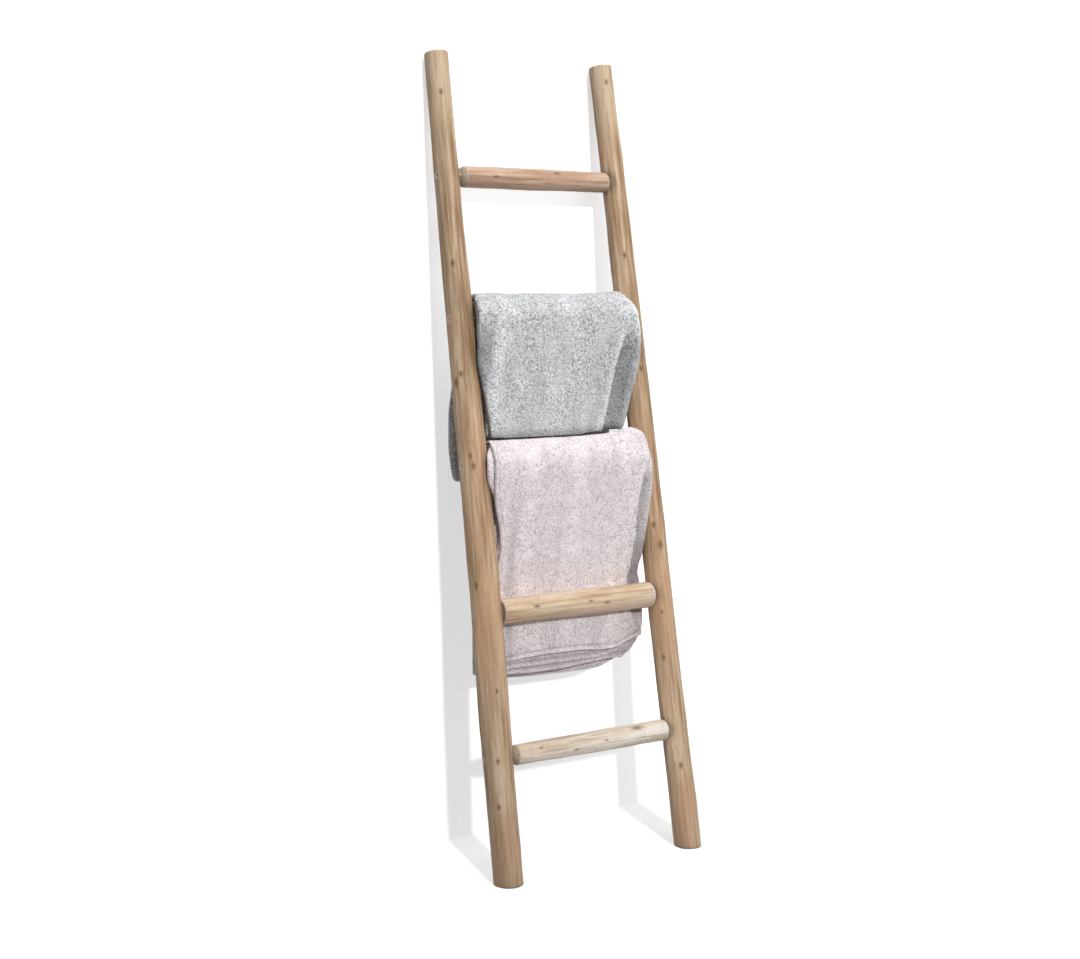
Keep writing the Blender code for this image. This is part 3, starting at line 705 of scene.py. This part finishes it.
def make_throw(name, spec):
    """One continuous sheet folded in four across its width and hung over a rung.

    The zigzag runs from the free edge of layer 0 (outermost) on the open side,
    through folds on alternate sides, to the free edge of layer 3 against the rung.
    """
    centre = LADDER @ Vector((0.0, 0.0, RUNGS[spec["rung"]][0]))
    inner, pitch, thick = spec["inner"], spec["pitch"], spec["thick"]
    hem_steps = np.array([0.0, 0.0005, 0.0013, 0.0024, 0.0038, 0.0056, 0.0075, 0.0090, 0.0102, 0.0114, 0.0130, 0.0152])
    # columns: (layer position n in pitches, s across 0 left 1 right, extra x, kind)
    cols = []

    def straight(layer, left_to_right, count, hem=None):
        """One layer walked across; columns are finer next to a free edge, first or last in the walk."""
        s = np.linspace(0.0, 1.0, count)
        if hem:
            near = hem_steps / 0.38
            s = np.concatenate([near, np.linspace(near[-1], 1.0, count)[1:]])
        if hem == "last":
            s = 1.0 - s[::-1]
        s = s if left_to_right else 1.0 - s
        for t in s:
            cols.append((3.5 - layer, t, 0.0, layer))

    def fold(low_layer, high_layer, right, count=7):
        """The half turn between two layers, walked from high n to low n."""
        mid = 3.5 - 0.5 * (low_layer + high_layer)
        for k in range(1, count + 1):
            ang = math.pi * k / (count + 1)
            cols.append((mid + 0.5 * math.cos(ang), 1.0 if right else 0.0, math.sin(ang) * (1 if right else -1), low_layer + k / (count + 1)))

    first_right = spec["open_side"] == "left"
    straight(0, first_right, spec["columns"], hem="first")
    fold(0, 1, first_right)
    straight(1, not first_right, 26)
    fold(1, 2, not first_right)
    straight(2, first_right, 26)
    fold(2, 3, first_right)
    straight(3, not first_right, 24, hem="last")
    cols = np.array(cols)
    n_pos, s_pos, bulge, layer = cols.T
    # rows along the drape, as arc length from the crest, shared by all layers
    front, back = spec["front"], spec["back"]
    span = np.linspace(-(front - 0.0152), back - 0.0152, spec["rows"])
    base_v = np.concatenate([-front + hem_steps[:-1], span, (back - hem_steps[:-1])[::-1]])
    lay = np.clip(layer, 0, 3)
    # each layer's hems end a little further up or down, changing smoothly from layer to layer
    front_extra = np.interp(lay, [0, 1, 2, 3], spec["front_extra"])
    back_extra = np.interp(lay, [0, 1, 2, 3], spec["back_extra"])
    v_f, x_guess = base_v[:, None], -0.19 + 0.38 * s_pos[None, :]
    arch = spec["arch"](x_guess, lay[None, :])
    t_front = np.clip(-v_f / front, 0, 1)
    t_back = np.clip(v_f / back, 0, 1)
    v = v_f - t_front * (front_extra[None, :] + arch) + t_back * (back_extra[None, :] + spec["back_arch"](x_guess, lay[None, :]))

    n = np.broadcast_to(n_pos[None, :] * pitch, v.shape)
    rho = inner + n
    quarter = 0.5 * math.pi * rho
    depth = np.where(np.abs(v) > quarter, np.abs(v) - quarter, 0.0)
    phi = np.where(np.abs(v) > quarter, np.sign(v) * 0.5 * math.pi, v / rho)
    q = np.where(np.abs(v) > quarter, np.sign(v) * (depth + 0.06), 0.06 * np.sin(phi))
    z_under = np.where(np.abs(v) > quarter, depth, -rho * np.cos(phi))

    left_edge = {k: smooth_table(t, 0.010, -0.7, 0.7) for k, t in spec["left"].items()}
    right_edge = {k: smooth_table(t, 0.010, -0.7, 0.7) for k, t in spec["right"].items()}

    def per_layer(tables):
        out = np.zeros_like(v)
        values = {k: f(q) for k, f in tables.items()}
        for k in range(4):
            weight = np.clip(1 - np.abs(lay[None, :] - k), 0, 1)
            out += weight * values[min(values, key=lambda j: abs(j - k))]
        return out

    xl, xr = per_layer(left_edge), per_layer(right_edge)
    push = spec["push"](depth) * (phi < -1.0)
    shrink_l, shrink_r = np.zeros_like(v), np.zeros_like(v)
    bulge_x = spec["bulge"] * pitch
    points = None
    for attempt in range(9):
        left, right = xl + shrink_l, xr - shrink_r
        x = left + (right - left) * s_pos[None, :] + bulge[None, :] * bulge_x
        lift = spec["lift"](x, z_under, phi, lay[None, :])
        r = rho + lift
        y = np.where(depth > 0, np.sign(v) * r, r * np.sin(phi)) + push
        z = np.where(depth > 0, -depth, r * np.cos(phi))
        points = np.stack([x, centre.y + y, centre.z + z], axis=-1)
        short = 0.5 * thick + 0.0004 - rail_clearance(points)
        short = np.where(short > 0, short, 0.0)
        if short.max() < 0.0003:
            break
        # every point of a layer's row gives way together, so the folds keep their shape
        for side, store in ((-1, shrink_l), (1, shrink_r)):
            zone = short * (np.sign(x) == side)
            for k in range(4):
                members = np.abs(lay - k) <= 0.5
                worst = zone[:, members].max(axis=1)
                worst = np.convolve(np.pad(worst, 6, mode="edge"), np.ones(5) / 5, mode="same")[6:-6] * 1.5
                store[:, members] += worst[:, None]
    print("THROW", name, "clearance short by mm", round(float(short.max()) * 1000, 2), "attempts", attempt + 1,
          "x", round(float(points[..., 0].min()), 4), round(float(points[..., 0].max()), 4),
          "z", round(float(points[..., 2].min()), 4), round(float(points[..., 2].max()), 4),
          "y", round(float(points[..., 1].min()), 4), round(float(points[..., 1].max()), 4))
    # a little life in the pile's surface
    du = np.gradient(points, axis=1)
    dv = np.gradient(points, axis=0)
    normal = np.cross(du, dv)
    normal /= np.linalg.norm(normal, axis=-1, keepdims=True) + 1e-12

    def hem_profile(d):
        r_end = 0.5 * thick
        out = np.where(d < r_end, np.sqrt(np.clip(1 - (1 - d / r_end) ** 2, 0, 1)), 1.0)
        out = np.maximum(out, 0.10)
        bead = 1 + 0.16 * np.exp(-(((d - 0.0045) / 0.0030) ** 2))
        groove = 1 - 0.40 * np.exp(-(((d - 0.0104) / 0.0011) ** 2))
        return out * bead * groove, np.exp(-(((d - 0.0104) / 0.0013) ** 2))

    seg = np.linalg.norm(np.diff(points, axis=1), axis=-1)
    from_start = np.concatenate([np.zeros((len(v), 1)), np.cumsum(seg, axis=1)], axis=1)
    d_u = np.minimum(from_start, from_start[:, -1:] - from_start)
    d_v = np.minimum(base_v + front, back - base_v)[:, None]
    d_u = np.where(spec["side_hem"] > 0, d_u, d_u + 0.004)
    fu, gu = hem_profile(d_u)
    gu = gu * spec["side_hem"]
    fv, gv = hem_profile(np.broadcast_to(d_v, v.shape))
    if spec["side_hem"] == 0:
        fu, fv, gv = np.minimum(1.0, np.sqrt(np.clip(d_u / 0.005, 0.01, 1))), np.minimum(1.0, np.sqrt(np.clip(d_v / 0.005, 0.01, 1))) + 0 * v, 0 * gv
    tall = 0.5 * thick * np.minimum(fu, fv)
    flat_xy = np.stack([from_start, np.broadcast_to(base_v[:, None], v.shape)], axis=-1)
    fuzz = waves(flat_xy, spec["seed"], 0.006, 0.022, 30) * 0.00045 + waves(flat_xy, spec["seed"] + 3, 0.03, 0.09, 14) * 0.0005
    calm = np.clip(np.minimum(d_u, d_v) / 0.012, 0.15, 1)
    # cloth pressed between its own layers stays flat; the two outer faces carry the relief
    top = points + normal * (tall + fuzz * calm * (lay[None, :] < 0.5))[..., None]
    bottom = points - normal * (tall + 0.0)[..., None]
    rows, count = v.shape
    idx = np.arange(rows * count).reshape(rows, count)
    t_quads = np.stack([idx[:-1, :-1], idx[1:, :-1], idx[1:, 1:], idx[:-1, 1:]], axis=-1).reshape(-1, 4)
    off = rows * count
    b_quads = t_quads[:, ::-1] + off
    ring = np.concatenate([idx[0, :-1], idx[:-1, -1], idx[-1, ::-1][:-1], idx[::-1, 0][:-1]])
    nxt = np.roll(ring, -1)
    side_quads = np.stack([ring, nxt, nxt + off, ring + off], axis=-1)
    mesh = build_mesh("look_" + name, np.concatenate([top.reshape(-1, 3), bottom.reshape(-1, 3)]), [t_quads, b_quads, side_quads])
    fix_normals(mesh)
    # the stitch groove, which the plush darkens as painted shade
    hem = np.maximum(gu, gv).ravel()
    add_float(mesh, "hem", np.concatenate([hem, hem]))
    # painted shade and painted highlight for each point of the sheet
    painted_light = (spec["painted_light"](points[..., 0], depth, phi, lay[None, :] + 0 * v, per_layer(right_edge), right_edge[0](q), d_u, d_v + 0 * v)).ravel()
    add_float(mesh, "painted_light", np.concatenate([painted_light, painted_light]))
    obj = link("look_" + name, mesh)
    flat_w = float(from_start[:, -1].mean())
    flat_l = float((v[-1] - v[0]).mean())
    print("THROW", name, "flat", round(flat_w, 3), round(flat_l, 3), "triangles", 2 * len(mesh.polygons))
    return obj, (round(flat_w, 3), round(flat_l, 3))


def gauss(x, c, w):
    return np.exp(-(((x - c) / w) ** 2))


# depth below the rung's axis -> table position: front is negative, back positive
def F(depth):
    return -(depth + 0.06)


def B(depth):
    return depth + 0.06


grey_crest = smooth_table(((-0.21, 0.0012), (-0.15, 0.001), (-0.115, 0.0006), (-0.096, -0.0022), (-0.078, 0.0004), (0.0, 0.0004),
                           (0.08, -0.0004), (0.14, 0.0022), (0.185, 0.0052), (0.21, 0.0050)), 0.010, -0.3, 0.3, 0.002)


def grey_lift(x, below, phi, lay):
    front = phi < -0.3
    depth = below
    w_layer = np.interp(lay, [0, 1, 2, 3], [1.0, 0.95, 0.9, 0.85])
    crest = grey_crest(x) * np.clip(np.cos(phi), 0, 1) ** 0.6 * w_layer
    # the right side rides forward over the pole
    amount = np.interp(depth, [-0.05, -0.02, 0.0, 0.05, 0.12, 0.18, 0.249], [0.0, 0.004, 0.009, 0.013, 0.013, 0.007, 0.003])
    ride = amount * sstep(x, 0.145, 0.205) * sstep(-phi, 0.3, 1.4)
    # the left side stands forward as well, with a soft gutter beside a rounded ridge
    amount_l = np.interp(depth, [-0.05, 0.0, 0.05, 0.15, 0.249], [0.0, 0.004, 0.006, 0.003, 0.001])
    ride_l = amount_l * sstep(-x, 0.165, 0.205) * sstep(-phi, 0.3, 1.4)
    ridge_x = np.interp(depth, [0.0, 0.04, 0.12, 0.19, 0.25], [-0.150, -0.152, -0.167, -0.178, -0.184])
    gutter_x = np.interp(depth, [0.0, 0.02, 0.07, 0.11, 0.25], [-0.186, -0.188, -0.198, -0.206, -0.215])
    env = np.interp(depth, [-0.04, 0.01, 0.06, 0.15, 0.249], [0.0, 0.6, 1.0, 0.8, 0.35])
    outer = np.interp(lay, [0, 1, 2, 3], [1.0, 0.80, 0.60, 0.45])
    ridge = 0.0078 * gauss(x, ridge_x, 0.016) * env
    gutter = -0.0034 * gauss(x, gutter_x, 0.0065) * np.interp(depth, [-0.01, 0.03, 0.09, 0.14], [0, 1, 1, 0])
    mid = 0.0032 * (0.5 + 0.5 * np.cos((x + 0.02 + 0.25 * (depth - 0.1)) * 2 * math.pi / 0.135)) * env
    dimple = 0.0022 * (0.5 + 0.5 * np.sin(x * 46 + depth * 30)) * np.interp(depth, [0.12, 0.2, 0.249], [0, 0.7, 1.0])
    folds = np.where(front, (ridge + mid + dimple) * outer + gutter * np.interp(lay, [0, 1, 2, 3], [1, 1, 1, 0.9]), 0.0)
    back_env = np.interp(depth, [0.0, 0.1, 0.36], [0.0, 0.4, 1.0])
    behind = np.where(phi > 0.3, (0.0042 * (0.5 + 0.5 * np.cos(x * 2 * math.pi / 0.16 + 0.8)) + 0.002 * (0.5 + 0.5 * np.sin(x * 70))) * back_env * outer, 0.0)
    return crest + np.where(front, ride + ride_l, 0.0) + folds + behind


pink_crest = smooth_table(((-0.21, 0.0), (-0.14, 0.0002), (-0.05, 0.0006), (0.0, 0.0), (0.05, 0.0012), (0.09, 0.0034), (0.115, 0.0064),
                           (0.135, 0.0110), (0.155, 0.0185), (0.172, 0.0215), (0.188, 0.0160), (0.21, 0.006)), 0.007, -0.3, 0.3, 0.002)


def pink_lift(x, below, phi, lay):
    depth = below
    front = phi < -0.3
    w_layer = np.interp(lay, [0, 1, 2, 3], [1.0, 0.86, 0.74, 0.62])
    lean = np.exp(-(((phi + 0.42) / 0.42) ** 2))
    crest = pink_crest(x) * w_layer * lean
    amount = np.interp(depth, [-0.05, -0.02, 0.0, 0.04, 0.08, 0.13, 0.18, 0.22, 0.262], [0.0, 0.004, 0.009, 0.015, 0.023, 0.031, 0.036, 0.027, 0.0])
    ride = amount * sstep(x, 0.135, 0.186) * sstep(-phi, 0.3, 1.4)
    amount_l = np.interp(depth, [-0.05, -0.02, 0.0, 0.05, 0.10, 0.15], [0.0, 0.002, 0.004, 0.005, 0.003, 0.0])
    ride_l = amount_l * sstep(-x, 0.165, 0.205) * sstep(-phi, 0.3, 1.4)
    # pressed flat where it passes behind the rung below
    free = np.interp(depth, [-0.04, 0.02, 0.10, 0.20, 0.262, 0.348, 0.39, 0.43], [0.0, 0.5, 1.0, 0.8, 0.0, 0.0, 0.7, 1.0])
    outer = np.interp(lay, [0, 1, 2, 3], [1.0, 0.82, 0.62, 0.45])
    ridge = 0.0062 * gauss(x, np.interp(depth, [0, 0.3, 0.45], [-0.172, -0.180, -0.182]), 0.013)
    second = 0.0040 * gauss(x, -0.10 + 0.05 * depth, 0.030) + 0.0042 * gauss(x, 0.02 - 0.06 * depth, 0.035)
    third = 0.0046 * gauss(x, np.interp(depth, [0, 0.1, 0.25, 0.45], [0.130, 0.136, 0.132, 0.125]), 0.022)
    folds = np.where(front, (ridge + second + third) * free * outer, 0.0)
    hem_swing = np.where(front, 0.0035 * sstep(depth, 0.37, 0.44) * (0.5 + 0.5 * np.cos(x * 22 + 0.4)) * outer, 0.0)
    back_env = np.interp(depth, [0.0, 0.12, 0.47], [0.0, 0.5, 1.0])
    behind = np.where(phi > 0.3, (0.0045 * (0.5 + 0.5 * np.cos(x * 2 * math.pi / 0.19 - 0.7)) + 0.002 * (0.5 + 0.5 * np.sin(x * 62 + 1))) * back_env * outer, 0.0)
    return crest + np.where(front, ride + ride_l, 0.0) + folds + hem_swing + behind


def grey_painted_light(x, depth, phi, lay, edge, crease, d_u, d_v):
    """Painted shade and painted highlight, as a share of its colour: shadowed inner layers beside the step, dark
    gutters and creases, light ridges and a darker bottom.
    """
    front = phi < -0.6
    inner = sstep(lay, 0.45, 1.2)
    out = np.where(front, -0.62 * inner * sstep(depth, 0.010, 0.070) * sstep(x, crease - 0.012, crease + 0.004), 0.0)
    out += np.where(front, 0.42 * inner * sstep(x, edge - 0.004, edge + 0.003), 0.0)
    outer = 1 - inner
    out += np.where(front, outer * sstep(depth, 0.02, 0.06) * (0.14 * gauss(x, crease - 0.007, 0.006) - 0.12 * gauss(x, crease - 0.028, 0.012)), 0.0)
    ridge_x = np.interp(depth, [0.0, 0.04, 0.12, 0.19, 0.25], [-0.150, -0.152, -0.167, -0.178, -0.184])
    env = np.interp(depth, [0.0, 0.03, 0.06, 0.18, 0.25], [0.0, 0.7, 1.0, 0.8, 0.2])
    out += np.where(front, env * outer * (0.20 * gauss(x, ridge_x, 0.010) - 0.46 * sstep(-x, -ridge_x + 0.012, -ridge_x + 0.030)), 0.0)
    out += np.where(front, env * outer * -0.07 * gauss(x, ridge_x + 0.030, 0.014), 0.0)
    out += np.where(front, outer * (0.05 * np.sin(x * 41 + depth * 9 + 0.5) + 0.035 * np.sin(x * 83 - depth * 22)), 0.0)
    out += np.where(front, -0.38 * sstep(depth, 0.225, 0.247), 0.0)
    out += np.where(front, 0.10 * outer * gauss(x, 0.055, 0.010) * sstep(depth, 0.17, 0.21) - 0.10 * outer * gauss(x, 0.075, 0.010) * sstep(depth, 0.17, 0.21), 0.0)
    return out


# painted shade and painted highlight on the pink: shadowed inner layers beside the step, dark creases, a light hem rim
# with a dark line under it
def pink_painted_light(x, depth, phi, lay, edge, crease, d_u, d_v):
    front = phi < -0.6
    inner = sstep(lay, 0.45, 1.2)
    outer = 1 - inner
    upper = 1 - sstep(depth, 0.34, 0.37)
    out = np.where(front, -0.46 * inner * upper * sstep(depth, -0.01, 0.05) * sstep(x, crease - 0.012, crease + 0.004), 0.0)
    out += np.where(front, 0.30 * inner * upper * (1 - sstep(depth, 0.12, 0.20)) * sstep(x, edge - 0.004, edge + 0.003), 0.0)
    out += np.where(front, outer * upper * sstep(depth, 0.0, 0.04) * (0.09 * gauss(x, crease - 0.006, 0.006) - 0.10 * gauss(x, crease - 0.024, 0.011)), 0.0)
    out += np.where(front, -0.30 * outer * sstep(-(x - (-0.17)), 0.0, 0.01) * (1 - sstep(d_u, 0.002, 0.006)), 0.0)
    out += np.where(front, outer * sstep(depth, 0.03, 0.12) * (0.07 * gauss(x, -0.172, 0.009) - 0.20 * gauss(x, -0.148, 0.012) * (0.4 + 0.6 * sstep(depth, 0.08, 0.2))), 0.0)
    out += np.where(front, outer * -0.12 * gauss(x, 0.112 + 0.25 * depth, 0.010) * (1 - sstep(depth, 0.06, 0.12)), 0.0)
    out += np.where(front, outer * (0.045 * np.sin(x * 52 + 0.9) + 0.03 * np.sin(x * 101 + depth * 8)), 0.0)
    out += np.where(front, -0.10 * sstep(depth, 0.32, 0.36) * sstep(x, 0.14, 0.19), 0.0)
    out += np.where(front, -0.20 * sstep(lay, 0.3, 1.0) * sstep(depth, 0.38, 0.41), 0.0)
    out += np.where(front, 0.10 * (1 - sstep(d_v, 0.004, 0.009)), 0.0)
    out += np.where(front, -0.16 * gauss(d_v, 0.0130, 0.0022), 0.0)
    return out


GREY = dict(
    rung="rung_2", side_hem=0, open_side="right", painted_light=grey_painted_light, inner=0.0248, pitch=0.0075, thick=0.0058, bulge=0.85, columns=118, rows=128, seed=5,
    front=0.2512 + 0.0800, back=0.3480 + 0.0800,
    front_extra=(0.000, -0.014, -0.025, -0.037), back_extra=(0.000, -0.008, -0.022, -0.038),
    arch=lambda x, lay: -0.0045 * sstep(x, 0.105, 0.160) - 0.002 * sstep(-x, 0.12, 0.19),
    back_arch=lambda x, lay: 0.006 * np.cos(x * 9 + 0.5) - 0.010 * sstep(-x, 0.16, 0.215) - 0.008 * sstep(x, 0.15, 0.20),
    push=lambda d: 0.0 * d,
    left={
        0: ((B(0.36), -0.196), (B(0.33), -0.205), (B(0.28), -0.2125), (B(0.20), -0.2125), (B(0.12), -0.200), (B(0.05), -0.192), (0.0, -0.1890),
            (F(-0.02), -0.193), (F(0.0), -0.1985), (F(0.03), -0.2020), (F(0.08), -0.2035), (F(0.14), -0.2005), (F(0.20), -0.1965), (F(0.25), -0.1950)),
        2: ((B(0.36), -0.192), (B(0.20), -0.200), (0.0, -0.1880), (F(-0.02), -0.190), (F(0.0), -0.194), (F(0.08), -0.196), (F(0.25), -0.190)),
    },
    right={
        0: ((B(0.36), 0.176), (B(0.10), 0.184), (0.0, 0.1870), (F(-0.035), 0.1885), (F(-0.015), 0.1880), (F(0.0), 0.1840), (F(0.025), 0.1740), (F(0.05), 0.1640),
            (F(0.109), 0.1435), (F(0.209), 0.1185), (F(0.25), 0.1060)),
        1: ((B(0.36), 0.187), (B(0.10), 0.190), (0.0, 0.1880), (F(-0.035), 0.1930), (F(-0.01), 0.2000), (F(0.02), 0.2055), (F(0.045), 0.2065), (F(0.08), 0.2035),
            (F(0.115), 0.1975), (F(0.15), 0.1880), (F(0.18), 0.1800), (F(0.215), 0.1730), (F(0.235), 0.1680), (F(0.25), 0.1580)),
        3: ((B(0.36), 0.180), (0.0, 0.1850), (F(0.0), 0.1880), (F(0.15), 0.1700), (F(0.25), 0.1500)),
    },
    lift=grey_lift,
)
PINK = dict(
    rung="rung_3", side_hem=1, open_side="left", painted_light=pink_painted_light, inner=0.0248, pitch=0.00665, thick=0.0052, bulge=0.85, columns=104, rows=156, seed=17,
    front=0.4150 + 0.0760, back=0.4680 + 0.0760,
    front_extra=(0.000, -0.012, 0.004, 0.010), back_extra=(0.000, -0.006, -0.022, -0.038),
    arch=lambda x, lay: np.interp(lay, [0, 1, 2, 3], [1.0, 0.8, 0.2, -0.55]) * (0.008 * sstep(-x, 0.06, 0.19) + 0.007 * gauss(x, 0.10, 0.05) - 0.016 * sstep(x, 0.13, 0.20)) - (lay > 1.5) * 0.014 * sstep(x, 0.10, 0.19),
    back_arch=lambda x, lay: 0.006 * np.sin(x * 10 + 1.0) - 0.012 * sstep(-x, 0.16, 0.20) - 0.016 * sstep(x, 0.13, 0.20),
    push=lambda d: 0.0275 * np.clip((d - 0.02) / 0.252, 0, 1) ** 1.0,
    left={
        0: ((B(0.475), -0.188), (B(0.30), -0.190), (0.0, -0.1915), (F(-0.035), -0.195), (F(-0.01), -0.2025), (F(0.02), -0.2060), (F(0.05), -0.2040),
            (F(0.08), -0.2000), (F(0.11), -0.1960), (F(0.15), -0.1930), (F(0.30), -0.1930), (F(0.45), -0.1930)),
        1: ((B(0.475), -0.193), (B(0.30), -0.194), (0.0, -0.1925), (F(-0.035), -0.198), (F(-0.01), -0.2060), (F(0.02), -0.2110), (F(0.05), -0.2090),
            (F(0.08), -0.2050), (F(0.11), -0.1990), (F(0.15), -0.1960), (F(0.30), -0.1955), (F(0.45), -0.1960)),
        3: ((B(0.475), -0.190), (0.0, -0.1890), (F(0.0), -0.191), (F(0.10), -0.191), (F(0.45), -0.192)),
    },
    right={
        0: ((B(0.475), 0.184), (0.0, 0.1880), (F(-0.03), 0.1950), (F(-0.01), 0.1965), (F(0.01), 0.1890), (F(0.03), 0.1765), (F(0.05), 0.1680),
            (F(0.078), 0.1630), (F(0.125), 0.1580), (F(0.20), 0.1555), (F(0.285), 0.1580), (F(0.334), 0.1590), (F(0.36), 0.1780), (F(0.38), 0.1940),
            (F(0.395), 0.2010), (F(0.4064), 0.1980), (F(0.42), 0.188)),
        2: ((B(0.475), 0.190), (0.0, 0.1900), (F(-0.03), 0.1950), (F(0.0), 0.2050), (F(0.04), 0.2075), (F(0.076), 0.2015), (F(0.13), 0.1900),
            (F(0.183), 0.1800), (F(0.236), 0.1830), (F(0.270), 0.1990), (F(0.34), 0.2100), (F(0.388), 0.2100), (F(0.4064), 0.2000), (F(0.42), 0.1880),
            (F(0.44), 0.1710), (F(0.458), 0.1550)),
    },
    lift=pink_lift,
)


# ---------------------------------------------------------------- build
POLE = wood("look_pole_wood", rgb(144, 112, 80), rgb(186, 155, 123), rgb(211, 186, 157), rgb(190, 150, 116), seed=1.0)
WOODS = {
    "rung_1": wood("look_rung_wood_brown", rgb(146, 112, 86), rgb(186, 153, 128), rgb(214, 190, 170), rgb(184, 146, 122), gloss=0.40, spots=0.45, seed=4.0),
    "rung_2": POLE,
    "rung_3": POLE,
    "rung_4": wood("look_rung_wood_pale", rgb(158, 124, 88), rgb(198, 169, 136), rgb(224, 203, 178), rgb(208, 174, 146), gloss=0.55, streaks=0.9, spots=0.8, seed=7.0),
    "rung_5": wood("look_rung_wood_grey", rgb(180, 160, 138), rgb(222, 206, 186), rgb(242, 232, 220), rgb(212, 190, 168), knot=(0.16, 0.10, 0.06), gloss=0.6, streaks=1.4, spots=0.9, seed=9.0),
}
STEEL = steel()
GREY_PLUSH = plush("look_grey_plush", rgb(142, 144, 146), rgb(203, 205, 207), rgb(236, 237, 239), rgb(104, 106, 110), 3.0, 1.15)
PINK_PLUSH = plush("look_pink_plush", rgb(198, 182, 186), rgb(240, 230, 233), rgb(254, 250, 251), rgb(158, 142, 148), 8.0, 1.0)


def finish_piece(obj, mat, body, replaced):
    obj.data.materials.clear()
    obj.data.materials.append(mat)
    obj.data.transform(obj.matrix_world)
    obj.matrix_world = Matrix.Identity(4)
    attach(obj, body)
    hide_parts(*replaced)
    return obj


for rail_name, rail_side in (("left_rail", -1), ("right_rail", 1)):
    finish_piece(make_rail(rail_name, rail_side), POLE, "ladder", [rail_name])
for number, rung_name in enumerate(RUNGS, 1):
    finish_piece(make_rung(rung_name, 40 + number), WOODS[rung_name], "ladder", [rung_name])
screw_mesh = make_screw_mesh()
for number, (rung_name, (s, *_rest)) in enumerate(RUNGS.items(), 1):
    for side, word, rail in ((-1, "left", "left_rail"), (1, "right", "right_rail")):
        radius = np.interp(s, [t[0] for t in RAIL_RADII[rail]], [t[1] for t in RAIL_RADII[rail]])
        x = side * (half_spread(s) + radius - SCREW_SINK)
        turn = Matrix.Rotation(math.radians(37 * number + 20 * side), 4, "X")
        flip = Matrix.Rotation(math.pi if side < 0 else 0.0, 4, "Z")
        piece = link(f"look_screw_{word}_{number}", screw_mesh.copy(), LADDER @ Matrix.Translation((x, 0, s)) @ flip @ turn)
        finish_piece(piece, STEEL, "ladder", [f"screw_{word}_{number}"])

grey, grey_flat = make_throw("grey_throw", GREY)
finish_piece(grey, GREY_PLUSH, "grey_throw_body", ["grey_throw"])
pink, pink_flat = make_throw("pink_throw", PINK)
finish_piece(pink, PINK_PLUSH, "pink_throw_body", ["pink_throw"])

# ---------------------------------------------------------------- stage, light, camera
def pale(name, emit, colour):
    n = Nodes(name)
    n.shader.inputs["Base Color"].default_value = (*colour, 1.0)
    n.shader.inputs["Roughness"].default_value = 1.0
    n.shader.inputs["Specular IOR Level"].default_value = 0.0
    n.shader.inputs["Emission Color"].default_value = (1, 1, 1, 1)
    n.shader.inputs["Emission Strength"].default_value = emit
    return n


def plane(name, corners, mat):
    mesh = bpy.data.meshes.new(name)
    mesh.from_pydata(corners, [], [(0, 1, 2, 3)])
    mesh.materials.append(mat)
    obj = link(name, mesh)
    return obj


floor_n = pale("stage_floor", 0.72, (0.80, 0.80, 0.80))
floor_n.put(floor_n.shader.inputs["Normal"], floor_n.node("ShaderNodeCombineXYZ", 0, {0: -0.28, 1: -0.955, 2: 0.10}))
floor = plane("stage_floor", [(-6, -6, -0.0005), (6, -6, -0.0005), (6, 6, -0.0005), (-6, 6, -0.0005)], floor_n.mat)
wall_n = pale("stage_wall", 0.51, (0.80, 0.80, 0.80))
backface = wall_n.node("ShaderNodeNewGeometry", "Backfacing")
clear = wall_n.node("ShaderNodeBsdfTransparent", 0)
mixer = wall_n.tree.nodes.new("ShaderNodeMixShader")
wall_n.put(mixer.inputs[0], backface)
wall_n.put(mixer.inputs[1], wall_n.shader.outputs[0])
wall_n.put(mixer.inputs[2], clear)
wall_n.put(wall_n.tree.nodes["Material Output"].inputs["Surface"], mixer.outputs[0])
WALL_Y = 0.1835
wall = plane("stage_wall", [(-6, WALL_Y, -0.0004), (6, WALL_Y, -0.0004), (6, WALL_Y, 5), (-6, WALL_Y, 5)], wall_n.mat)
wall.visible_diffuse = False
floor.visible_diffuse = False

world = bpy.data.worlds.new("studio")
SCENE.world = world
world.use_nodes = True
background = world.node_tree.nodes["Background"]
background.inputs["Color"].default_value = (1.0, 1.0, 1.0, 1.0)
background.inputs["Strength"].default_value = 0.27


def area(name, place, target, size, power, colour=(1, 1, 1)):
    data = bpy.data.lights.new(name, "AREA")
    data.shape = "RECTANGLE"
    data.size, data.size_y = size
    data.energy = power
    data.color = colour
    obj = bpy.data.objects.new(name, data)
    SCENE.collection.objects.link(obj)
    obj.location = place
    obj.rotation_euler = (Vector(target) - Vector(place)).to_track_quat("-Z", "Y").to_euler()
    return obj


sun_data = bpy.data.lights.new("key", "SUN")
sun_data.energy = 1.50
sun_data.angle = math.radians(2.5)
sun = bpy.data.objects.new("key", sun_data)
SCENE.collection.objects.link(sun)
sun.rotation_euler = Vector((0.27, 0.96, -0.35)).to_track_quat("-Z", "Y").to_euler()
area("top", (0.3, -1.1, 4.2), (0.0, 0.0, 0.95), (1.8, 1.8), 70)
area("side", (2.5, -2.2, 1.6), (0.0, 0.0, 0.9), (2.0, 2.0), 12)

camera_data = bpy.data.cameras.new("camera")
camera_data.lens = 60.0
camera_data.sensor_width = 36.0
camera_data.clip_end = 100.0
camera = bpy.data.objects.new("camera", camera_data)
SCENE.collection.objects.link(camera)
yaw, pitch = math.radians(34.24), math.radians(5.825)
direction = Vector((math.sin(yaw) * math.cos(pitch), math.cos(yaw) * math.cos(pitch), -math.sin(pitch)))
camera.location = (-2.2205, -3.1785, 1.2107)
camera.rotation_euler = direction.to_track_quat("-Z", "Y").to_euler()
SCENE.camera = camera
SCENE.view_settings.view_transform = "Standard"
SCENE.view_settings.look = "None"
